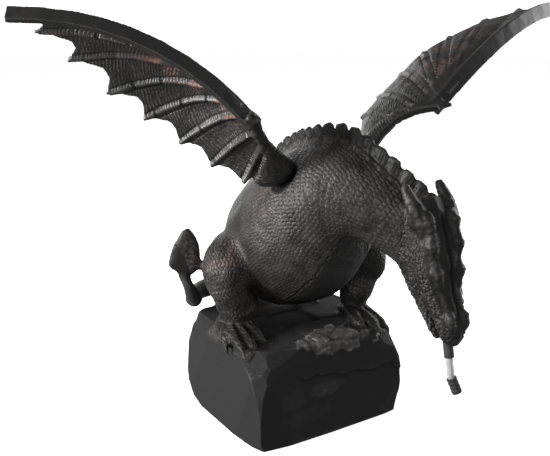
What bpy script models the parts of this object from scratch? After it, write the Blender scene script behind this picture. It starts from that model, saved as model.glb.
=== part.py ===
"""Cast resin dragon crouching on a faceted rock, wings spread, with a short water spout in its mouth.

Metres, +Z up. The origin is the middle of the rock's flat underside. The dragon faces -Y, so its own
right is -X and its left is +X. The figure's stations are written in figure units, each one a
millimetre at the real size, measured from the middle of the rock's top.
"""
import math
import random

import bmesh
import bpy
from mathutils import Matrix, Vector

# Driving dimensions of the rock
ROCK_WIDTH = 0.160
ROCK_DEPTH = 0.147
ROCK_HEIGHT = 0.088

# Faces broken off the block: turn and climb of each in degrees, and its reach as a share of the block's
ROCK_FACES = [
    (-133, 0, 0.955),
    (-126, 20, 0.95),
    (-112, -8, 0.985),
    (137, 3, 0.90),
    (150, -24, 0.94),
    (-44, 12, 0.905),
    (-36, -20, 0.935),
    (-62, 22, 0.93),
    (46, 4, 0.87),
    (-90, 22, 0.94),
    (-80, 42, 0.94),
    (-72, -16, 0.99),
    (184, -16, 0.955),
    (172, 14, 0.965),
    (178, 34, 0.94),
    (204, 30, 0.94),
    (-2, 14, 0.94),
    (8, 42, 0.91),
    (92, 12, 0.95),
    (84, 38, 0.92),
    (-135, 48, 0.945),
    (-46, 46, 0.89),
    (134, 40, 0.89),
    (44, 44, 0.89),
    (112, 24, 0.94),
    (28, 26, 0.935),
]
# Ledges: place as shares of the rock's width, depth and height, size as shares, cuts and seed
LEDGES = [
    ((0.10, -0.33, 0.91), (0.42, 0.30, 0.22), 9, 3),
    ((-0.30, 0.10, 0.90), (0.30, 0.60, 0.24), 9, 8),
    ((0.24, 0.10, 0.90), (0.30, 0.60, 0.26), 9, 21),
    ((0.0, 0.26, 0.93), (0.55, 0.40, 0.26), 10, 5),
    ((0.31, -0.28, 0.80), (0.22, 0.28, 0.24), 8, 17),
    ((-0.22, -0.34, 0.82), (0.34, 0.24, 0.26), 8, 29),
    ((0.10, -0.43, 0.66), (0.30, 0.14, 0.22), 8, 33),
]

# Driving dimensions of the dragon
FIGURE_HEIGHT = 0.279
UNITS_IN_FIGURE = 279
SCUTE_COUNT = 14
PLATE_COUNT = 24

# Driving dimensions of the wings
WING_LENGTH = 0.193
UNITS_IN_WING = 193
MEMBRANE = 0.0024
BAND_WIDTH = 0.0144
BAND_THICKNESS = 0.0046
RIB_DEPTH = 0.0072

# Skin of the castings: grain of the even skin, and facets left in it
BODY_GRAIN = 0.0014
BODY_FACETS = 6200
WING_GRAIN = 0.0009
WING_FACETS = 1650

# Oval socket in each shoulder, and the wing's plug in it
SOCKET_LENGTH = 0.040
SOCKET_WIDTH = 0.020
SOCKET_DEPTH = 0.011
SOCKET_GAP = 0.0022
SEAT_GAP = 0.0003

# Water spout: a clear hose in a black sleeve, with a black end piece
HOSE_DIAMETER = 0.006
HOSE_BORE = 0.0038
HOSE_SHOWN = 0.0165
SLEEVE_WALL = 0.0007
SLEEVE_SHOWN = 0.0095
SLEEVE_HELD = 0.009
TIP_WALL = 0.0009
TIP_LENGTH = 0.0135
TIP_GRIP = 0.005
TIP_BORE = 0.0022
TIP_TILT = math.radians(16)
FIT_GAP = 0.0003
SPOUT_SIDES = 12

UNIT = FIGURE_HEIGHT / UNITS_IN_FIGURE
WING_UNIT = WING_LENGTH / UNITS_IN_WING
UP = Vector((0, 0, 1))

# Middle line of the body: x, y, z, half width, half height
BODY = [
    (0, 72, 20, 9, 9),
    (0, 66, 27, 22, 20),
    (0, 54, 38, 40, 37),
    (0, 36, 53, 51, 52),
    (0, 10, 71, 58, 63),
    (0, -16, 90, 59, 66),
    (0, -41, 110, 53, 62),
    (0, -62, 125, 46, 53),
    (2, -80, 134, 37, 43),
    (6, -97, 132, 31, 34),
    (11, -111, 126, 27, 29),
    (17, -123, 118, 25, 26),
    (24, -134, 109, 24, 25),
    (29, -144, 99, 19, 20),
]

# Tail from the rump round the rock's right edge to the spade's neck
TAIL = [
    (0, 58, 28, 20, 18),
    (-8, 76, 18, 15, 14),
    (-30, 88, 12, 11, 11),
    (-56, 80, 11, 9, 9),
    (-72, 60, 13, 8, 8),
    (-79, 42, 19, 7.5, 7.5),
    (-87, 30, 29, 7.5, 7),
    (-93, 28, 40, 7, 5.5),
    (-95, 30, 49, 6, 4.5),
]

# Middle line of the head in its own frame: distance to the snout, lift to the crown, half width and
# half height
SKULL = [
    (-14, -2, 17, 18),
    (4, 0, 20.5, 20),
    (20, 2, 21.5, 18),
    (39, 2, 20.5, 15),
    (57, 0, 18, 12),
    (72, 1, 14.5, 11),
    (84, 1, 12, 10),
    (94, -1, 9.5, 7.5),
    (99, -3, 5, 4),
]
JAW = [
    (4, -19, 18, 11),
    (24, -23, 18, 10),
    (44, -22.5, 13.5, 8),
    (62, -19, 11, 6.5),
    (80, -15.5, 10, 5),
    (92, -14, 6, 3),
]
HEAD_ORIGIN = (28, -148, 123)
HEAD_PITCH = math.radians(66)

# Legs: side, then how far back, thigh and foot out, and thigh up, each one's places are moved
RIGHT_LEG = (-1, 0, 0, 0, 0)
LEFT_LEG = (1, -24, 1, -17, 7)
THIGH = [
    (30, 28, 66, 22, 22),
    (48, 20, 63, 25, 25),
    (61, 7, 55, 24, 26),
    (69, -4, 46, 20, 21),
    (72, -11, 36, 13, 13),
    (71, -14, 29, 6, 6),
]
SHANK = [
    (74, -2, 46, 10, 10),
    (67, -6, 35, 18, 17),
    (60, -7, 24, 20, 18),
    (62, -2, 12, 14, 13),
    (67, 2, 4, 11, 10),
    (68, 3, -3, 9, 8),
]
# Toes: start and tip of each, x from the middle plane, y and z
TOES = [
    ((72, 6, 6), (85, -30, -4)),
    ((70, 2, 6), (79, -50, -3)),
    ((66, 0, 6), (67, -52, -2)),
    ((62, 2, 6), (54, -44, 0)),
]
# Share of a toe's length, lift over the straight line and half width, for the toe and for its claw
TOE_ROWS = [(0, 0, 7), (0.3, 4, 6.2), (0.55, 3, 6.6), (0.75, 2, 5.2), (0.86, 0.5, 3.4)]
CLAW_ROWS = [(0.76, 1.5, 3.4), (0.9, 1, 2.8), (1.0, -3, 1.8), (1.04, -8, 0.6)]

# Wing ribs in the wing's frame: end along the wing, towards the trailing edge and towards the back of
# the wing, then the bow of the rib's middle in the last two directions
BAND_BOW = (-16, 16)
LEADING_EDGE = ((0, 4, 4), (184, -1, 5), BAND_BOW)
RIBS = [
    ((177, 17, 13), (-17, 10)),
    ((150, 37, 19), (-14, 16)),
    ((116, 59, 21), (-11, 18)),
    ((82, 69, 20), (-5, 20)),
    ((48, 77, 17), (-1, 15)),
    ((17, 83, 13), (0, 7)),
    ((-13, 81, 8), (5, 5)),
]
WRIST_RIBS = 5
# Share of the arm from its root to the wrist, and its half width there in metres
ARM_ROWS = [(0.97, 0.0080), (0.7, 0.0068), (0.45, 0.0054), (0.2, 0.0049), (0, 0.0047)]
SCALLOP = 0.12
BILLOW = 3.0

# Each wing's wrist in figure units, the way to its tip, and the way to its trailing edge
RIGHT_WING = {
    "root": (-37, -52, 153),
    "elbow": (-66, -55, 176),
    "wrist": (-91, -87.5, 203.5),
    "outward": (-0.770, 0.513, 0.379),
    "trailing": (0.075, 0.663, -0.745),
}
LEFT_WING = {
    "root": (37, -52, 153),
    "elbow": (60, -56, 199),
    "wrist": (96, -85, 201),
    "outward": (0.893, 0.197, 0.405),
    "trailing": (-0.098, 0.963, -0.252),
}


def clear_scene():
    for thing in list(bpy.data.objects):
        bpy.data.objects.remove(thing, do_unlink=True)


def finish_material(name, colour, roughness, metallic=0.0, alpha=1.0):
    material = bpy.data.materials.new(name)
    material.use_nodes = True
    shader = material.node_tree.nodes["Principled BSDF"]
    shader.inputs["Base Color"].default_value = (*colour, 1)
    shader.inputs["Roughness"].default_value = roughness
    shader.inputs["Metallic"].default_value = metallic
    shader.inputs["Alpha"].default_value = alpha
    return material


def black_resin():
    return finish_material("black_resin", (0.040, 0.037, 0.035), 0.55)


def wing_resin():
    return finish_material("wing_resin", (0.050, 0.044, 0.041), 0.5)


def clear_hose():
    return finish_material("clear_hose", (0.85, 0.88, 0.88), 0.12, alpha=0.35)


def black_rubber():
    return finish_material("black_rubber", (0.02, 0.02, 0.02), 0.6)


def on_figure(point):
    """A point in figure units, in metres above the rock's underside"""
    return Vector(point) * UNIT + Vector((0, 0, ROCK_HEIGHT))


def smooth_line(stations, steps):
    """Numbers read between the stations by a Catmull-Rom curve"""
    rows = [Vector(row) for row in stations]
    out = []
    for i in range(len(rows) - 1):
        before = rows[max(i - 1, 0)]
        after = rows[min(i + 2, len(rows) - 1)]
        start, end = rows[i], rows[i + 1]
        for k in range(steps):
            t = k / steps
            out.append(
                start * (1 - 3 * t ** 2 + 2 * t ** 3)
                + end * (3 * t ** 2 - 2 * t ** 3)
                + (end - before) * 0.5 * (t - 2 * t ** 2 + t ** 3)
                + (after - start) * 0.5 * (t ** 3 - t ** 2)
            )
    out.append(rows[-1])
    return out


def ring_frame(centre, tangent, upright, half_width, half_height):
    """Matrix that puts a unit circle round the centre, across the tangent"""
    side = tangent.cross(upright).normalized()
    top = side.cross(tangent).normalized()
    frame = Matrix((side * half_width, top * half_height, side.cross(top))).transposed().to_4x4()
    frame.translation = centre
    return frame


def skin(bm, frames, sides, loop=False):
    """A ring in each frame, the next one extruded from the last, closed at both ends or into a loop"""
    made = bmesh.ops.create_circle(bm, radius=1, segments=sides, matrix=frames[0])
    first = list({edge for vert in made["verts"] for edge in vert.link_edges})
    edges = first
    for i in range(1, len(frames)):
        grown = bmesh.ops.extrude_edge_only(bm, edges=edges)["geom"]
        verts = [item for item in grown if isinstance(item, bmesh.types.BMVert)]
        verts_set = set(verts)
        links = [item for item in grown if isinstance(item, bmesh.types.BMEdge)]
        edges = [link for link in links if verts_set.issuperset(link.verts)]
        step = frames[i] @ frames[i - 1].inverted()
        bmesh.ops.transform(bm, matrix=step, verts=verts)
    if loop:
        bmesh.ops.bridge_loops(bm, edges=first + edges)
    else:
        bmesh.ops.contextual_create(bm, geom=first)
        bmesh.ops.contextual_create(bm, geom=edges)
    bmesh.ops.recalc_face_normals(bm, faces=bm.faces)


def frames_along(rows, upright):
    """Ring frames for rows of x, y, z, half width and half height, all in metres"""
    centres = [Vector(row[:3]) for row in rows]
    frames = []
    for i, row in enumerate(rows):
        tangent = (centres[min(i + 1, len(rows) - 1)] - centres[max(i - 1, 0)]).normalized()
        frames.append(ring_frame(centres[i], tangent, upright, row[3], row[4]))
    return frames


def new_object(name, bm):
    mesh = bpy.data.meshes.new(name)
    bm.to_mesh(mesh)
    bm.free()
    thing = bpy.data.objects.new(name, mesh)
    bpy.context.scene.collection.objects.link(thing)
    return thing


def limb(name, stations, sides, steps, upright=UP, place=on_figure, scale=UNIT):
    """A rounded limb through stations of x, y, z, half width and half height"""
    rows = []
    for row in smooth_line(stations, steps):
        centre = place(row[:3])
        rows.append((*centre, row[3] * scale, row[4] * scale))
    bm = bmesh.new()
    skin(bm, frames_along(rows, upright), sides)
    return new_object(name, bm)


def gather(name, members):
    """One object of all the overlapping members"""
    depsgraph = bpy.context.evaluated_depsgraph_get()
    bm = bmesh.new()
    for member in members:
        bm.from_object(member, depsgraph)
    for member in members:
        bpy.data.objects.remove(member, do_unlink=True)
    return new_object(name, bm)


def cut(thing, cutter, name):
    away = thing.modifiers.new(name, "BOOLEAN")
    away.operation = "DIFFERENCE"
    away.solver = "EXACT"
    away.object = cutter
    cutter.hide_render = True
    cutter.display_type = "WIRE"


def largest_shell(bm):
    """Leaves the outer skin alone, without the specks that closed gaps inside it make"""
    seen = set()
    shells = []
    for first in bm.faces:
        if first in seen:
            continue
        seen.add(first)
        shell = [first]
        for face in shell:
            for edge in face.edges:
                for other in edge.link_faces:
                    if other not in seen:
                        seen.add(other)
                        shell.append(other)
        shells.append(shell)
    shells.sort(key=len)
    for shell in shells[:-1]:
        bmesh.ops.delete(bm, geom=shell, context="FACES")


def even_skin(thing, voxel, triangles):
    """One even skin round the overlapping members, then only as many facets as the shape needs"""
    skin_over = thing.modifiers.new("skin", "REMESH")
    skin_over.mode = "VOXEL"
    skin_over.voxel_size = voxel
    bm = bmesh.new()
    bm.from_object(thing, bpy.context.evaluated_depsgraph_get())
    largest_shell(bm)
    thing.modifiers.clear()
    even_faces = len(bm.faces)
    bm.to_mesh(thing.data)
    bm.free()
    facets = thing.modifiers.new("facets", "DECIMATE")
    facets.ratio = triangles / (2 * even_faces)


def shade(thing, material, angle):
    thing.data.materials.clear()
    thing.data.materials.append(material)
    thing.data.shade_smooth()
    thing.data.set_sharp_from_angle(angle=math.radians(angle))


def broken_off(bm, normal, reach):
    """Cuts the block with one plane, whose distance from the middle is a share of the block's own reach"""
    normal = normal.normalized()
    far = max(vert.co.dot(normal) for vert in bm.verts)
    bmesh.ops.bisect_plane(
        bm, geom=bm.verts[:] + bm.edges[:] + bm.faces[:], dist=1e-6,
        plane_co=normal * far * reach, plane_no=normal, clear_outer=True,
    )
    bmesh.ops.holes_fill(bm, edges=[edge for edge in bm.edges if edge.is_boundary])


def heading(turn, climb):
    """Direction from a turn about the vertical and a climb over the level, both in degrees"""
    turn, climb = math.radians(turn), math.radians(climb)
    flat = math.cos(climb)
    return Vector((flat * math.cos(turn), flat * math.sin(turn), math.sin(climb)))


def rock_block(name, centre, size, cuts, seed):
    """A box broken by flat cuts all round, its underside kept level"""
    bm = bmesh.new()
    bmesh.ops.create_cube(bm, size=1, matrix=Matrix.Diagonal((*size, 1)))
    chooser = random.Random(seed)
    for i in range(cuts):
        turn = i * 137.5 + chooser.uniform(-15, 15)
        broken_off(bm, heading(turn, 70 * (i + 0.5) / cuts), chooser.uniform(0.9, 0.97))
    bmesh.ops.translate(bm, vec=Vector(centre), verts=bm.verts)
    bmesh.ops.recalc_face_normals(bm, faces=bm.faces)
    return new_object(name, bm)


def rock():
    """The main block, its big faces broken off one by one, and the broken ledges on it"""
    sunk = 0.004
    full = Vector((ROCK_WIDTH, ROCK_DEPTH, ROCK_HEIGHT))
    bm = bmesh.new()
    bmesh.ops.create_cube(bm, size=1, matrix=Matrix.Diagonal((full.x, full.y, full.z + sunk, 1)))
    for turn, climb, reach in ROCK_FACES:
        broken_off(bm, heading(turn, climb), reach)
    bmesh.ops.translate(bm, vec=Vector((0, 0, (ROCK_HEIGHT - sunk) / 2)), verts=bm.verts)
    bmesh.ops.recalc_face_normals(bm, faces=bm.faces)
    made = [new_object("rock", bm)]
    for i, (place, share, cuts, seed) in enumerate(LEDGES):
        centre = [place[k] * full[k] for k in range(3)]
        extent = [share[k] * full[k] for k in range(3)]
        made.append(rock_block(f"ledge_{i}", centre, extent, cuts, seed))
    return made


def head_frame():
    """Frame of the head: X to its left, Y to the snout, Z to the crown"""
    snout = Vector((0, -math.cos(HEAD_PITCH), -math.sin(HEAD_PITCH)))
    crown = Vector((0, -math.sin(HEAD_PITCH), math.cos(HEAD_PITCH)))
    frame = Matrix((snout.cross(crown), snout, crown)).transposed().to_4x4()
    if frame.col[0].x < 0:
        frame.col[0] = -frame.col[0]
    frame.translation = on_figure(HEAD_ORIGIN)
    return frame


def on_head(side, along, lift):
    """A point of the head's frame, in figure units, placed in the world"""
    return head_frame() @ (Vector((side, along, lift)) * UNIT)


def head_limb(name, rows, sides, steps, upright=None):
    crown = Vector((0, -math.sin(HEAD_PITCH), math.cos(HEAD_PITCH)))
    return limb(name, rows, sides, steps, upright or crown, lambda row: on_head(*row))


def head():
    """Skull, open jaw, brow ridges, horns, cheek fins and nostrils"""
    made = [
        head_limb("skull", [(0, along, lift, wide, high) for along, lift, wide, high in SKULL], 12, 1),
        head_limb("jaw", [(0, along, lift, wide, high) for along, lift, wide, high in JAW], 9, 1),
    ]
    for side in (-1, 1):
        brow = [
            (side * 11, -4, 17, 3, 3),
            (side * 13, 4, 18, 6, 6),
            (side * 12, 14, 17, 4.5, 4.5),
            (side * 13.5, 22, 15, 6, 7),
            (side * 11.5, 33, 12, 3.6, 4),
            (side * 11.5, 43, 12, 5.5, 6),
            (side * 8.5, 56, 8, 3, 3.2),
            (side * 7.5, 66, 8, 3.2, 3.5),
            (side * 6.5, 80, 8, 2.5, 3),
            (side * 6, 88, 9, 1.2, 1.2),
        ]
        made.append(head_limb(f"brow_{side}", brow, 7, 1))
        horn = [
            (side * 12, 13, 9, 7, 7),
            (side * 14, 4, 12, 8, 8),
            (side * 16, -6, 12, 7, 7),
            (side * 17, -15, 10, 5.6, 5.6),
            (side * 17.5, -23, 7.5, 4.6, 4.6),
            (side * 17.5, -28.5, 6, 2.8, 2.8),
        ]
        made.append(head_limb(f"horn_{side}", horn, 8, 1))
        spike = [
            (side * 15, 8, 8, 5, 5),
            (side * 21, 2, 10, 4, 4),
            (side * 25, -6, 11, 1.2, 1.2),
        ]
        made.append(head_limb(f"side_spike_{side}", spike, 6, 1))
        for number, (along, reach) in enumerate(((2, 12), (14, 11), (27, 9))):
            fin = [
                (side * 11, along + 9, -12, 2.6, 8),
                (side * 16, along + 3, -17, 2.4, 7),
                (side * 20, along - reach * 0.5, -22, 1.8, 5),
                (side * 22, along - reach, -26, 1, 1.8),
            ]
            made.append(head_limb(f"cheek_fin_{side}_{number}", fin, 6, 1))
        nostril = [
            (side * 6, 70, 8, 2.5, 2.5),
            (side * 7.5, 78, 10.5, 4.2, 4),
            (side * 7, 85, 9.5, 3.6, 3.4),
            (side * 6, 91, 5.5, 1.6, 1.6),
        ]
        made.append(head_limb(f"nostril_{side}", nostril, 7, 1))
        cheek = [
            (side * 13, 4, -7, 8, 10),
            (side * 14.5, 20, -9, 8, 11),
            (side * 12, 40, -10, 6.5, 9.5),
            (side * 9.5, 56, -10, 4.5, 7.5),
            (side * 7.5, 70, -11, 2.6, 4.5),
        ]
        made.append(head_limb(f"cheek_{side}", cheek, 7, 1))
    return made


def leg(name, side, shift, thigh_out, foot_out, thigh_up):
    """Thigh, shank, toes and claws of one crouching leg"""
    inward = foot_out - thigh_out
    thigh = []
    for i, row in enumerate(THIGH):
        out = thigh_out + inward * 0.35 * max(0, i - 2) / 3
        thigh.append((side * (row[0] + out), row[1] + shift, row[2] + thigh_up, *row[3:]))
    slim = 1 + inward * 0.008
    shank = []
    for row in SHANK:
        out = thigh_out + inward * 0.5
        shank.append((side * (row[0] + out), row[1] + shift, row[2], row[3] * slim, row[4] * slim))
    made = [
        limb(f"{name}_thigh", thigh, 11, 2, Vector((0, 1, 0))),
        limb(f"{name}_shank", shank, 10, 1, Vector((0, 1, 0))),
    ]
    for number, (start, tip) in enumerate(TOES):
        start = Vector((side * (start[0] + foot_out), start[1] + shift, start[2]))
        tip = Vector((side * (tip[0] + foot_out), tip[1] + shift, tip[2]))
        run = tip - start
        rows = []
        for share, lift, radius in TOE_ROWS:
            centre = start + run * share + UP * lift
            rows.append((*centre, radius, radius))
        made.append(limb(f"{name}_toe_{number}", rows, 6, 1))
        claw = []
        for share, lift, radius in CLAW_ROWS:
            centre = start + run * share + UP * lift
            claw.append((*centre, radius, radius))
        made.append(limb(f"{name}_claw_{number}", claw, 4, 1))
    return made


def spade():
    """Flat arrow-shaped blade at the tail's end, barbs at its foot"""
    outline = [
        # height over the neck of the spade, half width, half thickness
        (-6, 5.5, 4.5),
        (2, 7, 4.5),
        (5, 14, 4.2),
        (9, 16.5, 4.2),
        (18, 15.5, 4.8),
        (28, 12.5, 4.4),
        (36, 9, 3.6),
        (42, 5, 2.4),
        (44.5, 1.5, 1),
    ]
    slim = 0.94
    foot = Vector(TAIL[-1][:3])
    lean = Vector((0.06, -0.10, 1)).normalized()
    rows = []
    for height, wide, thick in outline:
        centre = foot + lean * height
        rows.append((*centre, wide * slim, thick))
    return limb("spade", rows, 10, 1, Vector((-0.52, -0.85, 0)))


def top_line(share_from, share_to, count):
    """Evenly spaced places along the back: middle, direction, way up and half height of the body"""
    rows = smooth_line(BODY, 8)
    places = []
    for i, row in enumerate(rows):
        ahead = Vector(rows[min(i + 1, len(rows) - 1)][:3])
        behind = Vector(rows[max(i - 1, 0)][:3])
        along = (ahead - behind).normalized()
        upward = along.cross(UP).cross(along).normalized()
        places.append((Vector(row[:3]), along, upward, row[4]))
    run = [0]
    for (middle, _, up, half), (next_middle, _, next_up, next_half) in zip(places, places[1:]):
        run.append(run[-1] + (next_middle + next_up * next_half - middle - up * half).length)
    out = []
    for i in range(count):
        wanted = run[-1] * (share_from + (share_to - share_from) * i / (count - 1))
        low = max(k for k in range(len(run) - 1) if run[k] <= wanted)
        share = (wanted - run[low]) / (run[low + 1] - run[low])
        mixed = [a + (b - a) * share for a, b in zip(places[low], places[low + 1])]
        out.append((mixed[0], mixed[1].normalized(), mixed[2].normalized(), mixed[3]))
    return out


def plate(name, centre, along, upward, reach, length, height):
    """A blunt upright plate of the back's crest, tapered to its flat top"""
    side = along.cross(upward).normalized()
    foot = centre + upward * (reach - 4)
    rows = []
    for share, long_part, thick in ((0, 1.0, 4.6), (0.8, 0.94, 3.4), (1.0, 0.72, 2.6)):
        spot = foot + upward * (height + 4) * share - along * height * 0.22 * share
        frame = Matrix((along * length * 0.5 * long_part, side * thick, upward)).transposed().to_4x4()
        frame = Matrix.Diagonal((UNIT, UNIT, UNIT, 1)) @ frame
        frame.translation = on_figure(spot)
        rows.append(frame)
    bm = bmesh.new()
    skin(bm, rows, 6)
    return new_object(name, bm)


def crest():
    """Plates from the rump over the back and down the neck"""
    made = []
    for i, (centre, along, upward, reach) in enumerate(top_line(0.14, 0.985, PLATE_COUNT)):
        size = math.sin(math.pi * (0.16 + 0.54 * i / PLATE_COUNT))
        made.append(plate(f"plate_{i}", centre, along, upward, reach, 15, 4 + 12 * size))
    return made


def belly():
    """Raised band of overlapping scutes from the throat to between the legs"""
    line = smooth_line(BODY, 8)
    bm = bmesh.new()
    last = None
    for i in range(SCUTE_COUNT):
        for part, stand in ((0.0, 1.5), (0.9, 0.5)):
            place = (0.36 + 0.42 * (i + part) / SCUTE_COUNT) * (len(line) - 1)
            low = int(place)
            row = line[low].lerp(line[low + 1], place - low)
            along = (Vector(line[low + 1][:3]) - Vector(line[low][:3])).normalized()
            frame = ring_frame(Vector(row[:3]), along, UP, row[3], row[4])
            narrow = math.sin(math.pi * (0.18 + 0.64 * (i + part) / SCUTE_COUNT))
            edges = band_ring(bm, frame, 0.56 * narrow, 1 + stand / row[4])
            if last:
                bmesh.ops.bridge_loops(bm, edges=last + edges)
            else:
                bmesh.ops.contextual_create(bm, geom=edges)
            last = edges
    bmesh.ops.contextual_create(bm, geom=last)
    bmesh.ops.recalc_face_normals(bm, faces=bm.faces)
    return new_object("belly", bm)


def band_ring(bm, frame, spread, reach):
    """A closed ring round the underside: four points outside the body and two inside it"""
    corners = [(-1, reach), (-0.4, reach), (0.4, reach), (1, reach), (0.7, 0.88), (-0.7, 0.88)]
    ring = bmesh.ops.create_circle(bm, radius=1, segments=len(corners))["verts"]
    for vert, (share, out) in zip(ring, corners):
        angle = -math.pi / 2 + share * spread
        vert.co = on_figure(frame @ Vector((math.cos(angle) * out, math.sin(angle) * out, 0)))
    return list({edge for vert in ring for edge in vert.link_edges})


def wing_frame(wing):
    """Frame of a wing: X from wrist to tip, Y to the trailing edge, Z to the wing's back"""
    outward = Vector(wing["outward"]).normalized()
    trailing = Vector(wing["trailing"])
    trailing = (trailing - outward * outward.dot(trailing)).normalized()
    back = outward.cross(trailing)
    if back.z < 0:
        back = -back
    frame = Matrix((outward, trailing, back)).transposed().to_4x4()
    frame.translation = on_figure(wing["wrist"])
    return frame


def bowed(start, end, bow, share):
    """A point of a rib, straight from start to end but for the bow of its middle"""
    lift = 4 * share * (1 - share)
    return start.lerp(end, share) + Vector((0, bow[0], bow[1])) * lift


def arm_point(arm, share):
    """A point along the arm, from the wrist at 0 over the elbow to the root at 1"""
    wrist, elbow, root = arm
    return wrist * (1 - share) ** 2 + elbow * 2 * share * (1 - share) + root * share ** 2


def wing_ribs(arm):
    """Start, end and bow of the leading edge, each rib and the edge against the body"""
    ribs = [tuple(Vector(part) for part in LEADING_EDGE)]
    for number, (end, bow) in enumerate(RIBS):
        beyond = max(0, number + 1 - WRIST_RIBS)
        ribs.append((arm_point(arm, 0.22 * beyond), Vector(end), Vector(bow)))
    inner = ribs[-1][1].lerp(arm[2], 0.42)
    ribs.append((arm_point(arm, 0.86), inner, Vector((0, 0))))
    return ribs


def web(name, frame, ribs):
    """The web with its ribs: a scalloped sheet, billowed between ribs that stand out on both faces"""
    shares = (0, 0.07, 0.36, 0.64, 0.93)
    columns = [(panel, share) for panel in range(len(ribs) - 1) for share in shares]
    columns.append((len(ribs) - 2, 1.0))
    rows = 6
    bm = bmesh.new()
    bmesh.ops.create_grid(bm, x_segments=len(columns) - 1, y_segments=rows, size=0.5)
    thick = []
    for vert in bm.verts:
        panel, share = columns[round((vert.co.x + 0.5) * (len(columns) - 1))]
        row = vert.co.y + 0.5
        dip = math.sin(math.pi * share ** 0.8)
        near = 0.07 if panel < WRIST_RIBS else 0.02
        scallop = SCALLOP * dip * (0.6 if panel == 0 else 1)
        spot = near + (1 - near) * row * (1 - scallop * row ** 2)
        here = bowed(*ribs[panel], spot).lerp(bowed(*ribs[panel + 1], spot), share)
        here.z += BILLOW * dip * math.sin(math.pi * min(row * 1.1, 1))
        vert.co = frame @ (here * WING_UNIT)
        crest = share in (0, 1) and 0 < panel + share < len(ribs) - 1
        thick.append(1 - 0.35 * row if crest else MEMBRANE / RIB_DEPTH)
    thing = new_object(name, bm)
    group = thing.vertex_groups.new(name="ribs")
    for index, weight in enumerate(thick):
        group.add([index], weight, "REPLACE")
    wall = thing.modifiers.new("wall", "SOLIDIFY")
    wall.thickness = RIB_DEPTH
    wall.offset = 0
    wall.vertex_group = "ribs"
    wall.thickness_vertex_group = 0
    wall.use_even_offset = False
    return thing


def wing_limb(name, frame, rows, sides, upright):
    """A limb through stations in wing units, its radii in metres"""
    placed = [(*(frame @ (Vector(row[:3]) * WING_UNIT)), row[3], row[4]) for row in rows]
    bm = bmesh.new()
    skin(bm, frames_along(placed, upright), sides)
    return new_object(name, bm)


def band(name, frame):
    """The flat leading band, which stands across the web and ends blunt"""
    corner_turn = Matrix.Rotation(math.pi / 4, 4, "Z")
    across = frame.col[1].to_3d()
    start, end = Vector((0, 4, 0)), Vector((UNITS_IN_WING, -2, 0))
    frames = []
    rings = 10
    for i in range(rings):
        share = -0.02 + 1.02 * i / (rings - 1)
        here = bowed(start, end, BAND_BOW, share)
        ahead = bowed(start, end, BAND_BOW, share + 0.01)
        tangent = (frame.to_3x3() @ (ahead - here)).normalized()
        middle = frame @ (here * WING_UNIT)
        ring = ring_frame(middle, tangent, across, BAND_WIDTH / math.sqrt(2), BAND_THICKNESS / math.sqrt(2))
        frames.append(ring @ corner_turn)
    bm = bmesh.new()
    skin(bm, frames, 4)
    return new_object(name, bm)


def plug_frame(wing, frame):
    """Frame of the oval plug: X along the web's foot, Z out of the shoulder"""
    root = on_figure(wing["root"])
    last_end = frame @ (Vector(RIBS[-1][0]) * WING_UNIT)
    along = (last_end - root).normalized()
    middle = on_figure((0, wing["root"][1] + 10, wing["root"][2] - 60))
    out = (root - middle).normalized()
    out = (out - along * along.dot(out)).normalized()
    turned = Matrix((along, out.cross(along), out)).transposed().to_4x4()
    turned.translation = root + along * SOCKET_LENGTH * 0.30
    return turned


def wing(name, side):
    """One wing casting: band, web with ribs, arm, wrist and plug"""
    frame = wing_frame(side)
    to_wing = frame.inverted()
    arm = [to_wing @ on_figure(side[key]) / WING_UNIT for key in ("wrist", "elbow", "root")]
    back = frame.col[2].to_3d()
    made = [web(f"{name}_web", frame, wing_ribs(arm)), band(f"{name}_band", frame)]
    rows = []
    for share, wide in ARM_ROWS:
        rows.append((*arm_point(arm, share), wide, wide))
    rows.append((*(arm_point(arm, 0) - arm_point(arm, 0.12)), 0.002, 0.002))
    made.append(wing_limb(f"{name}_arm", frame, rows, 9, back))
    thumb = [
        (2, 2, 0, 0.0062, 0.0058),
        (-2, -2, -1, 0.0046, 0.0042),
        (-6, -4, -3, 0.0016, 0.0016),
    ]
    made.append(wing_limb(f"{name}_thumb", frame, thumb, 7, back))
    plug = plug_frame(side, frame)
    half_length, half_width = SOCKET_LENGTH / 2 - SOCKET_GAP, SOCKET_WIDTH / 2 - SOCKET_GAP
    made.append(oval(f"{name}_plug", plug, half_length, half_width, SOCKET_DEPTH - SEAT_GAP))
    elbow = frame @ (arm_point(arm, 0.6) * WING_UNIT)
    made.append(shoulder(f"{name}_shoulder", plug, half_length, half_width, elbow))
    casting = gather(name, made)
    even_skin(casting, WING_GRAIN, WING_FACETS)
    shade(casting, wing_resin(), 35)


def shoulder(name, plug, half_length, half_width, elbow):
    """The arm's foot, drawn from the plug's oval up to the round of the arm"""
    round_end = 0.006
    tilt = plug.to_3x3().inverted() @ (elbow - plug.translation)
    frames = []
    for i in range(5):
        share = i / 4
        ease = share ** 0.7
        half = (half_length * (1 - ease) + round_end * ease, half_width * (1 - ease) + round_end * ease)
        centre = plug @ Vector((tilt.x * share ** 1.6, tilt.y * share ** 1.3, tilt.z * share))
        frame = plug @ Matrix.Diagonal((*half, 1, 1))
        frame.translation = centre
        frames.append(frame)
    bm = bmesh.new()
    skin(bm, frames, 12)
    return new_object(name, bm)


def oval(name, frame, half_length, half_width, half_depth):
    bm = bmesh.new()
    bmesh.ops.create_uvsphere(bm, u_segments=12, v_segments=7, radius=1)
    stretch = Matrix.Diagonal((half_length, half_width, half_depth, 1))
    bmesh.ops.transform(bm, matrix=frame @ stretch, verts=bm.verts)
    bmesh.ops.recalc_face_normals(bm, faces=bm.faces)
    return new_object(name, bm)


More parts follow.
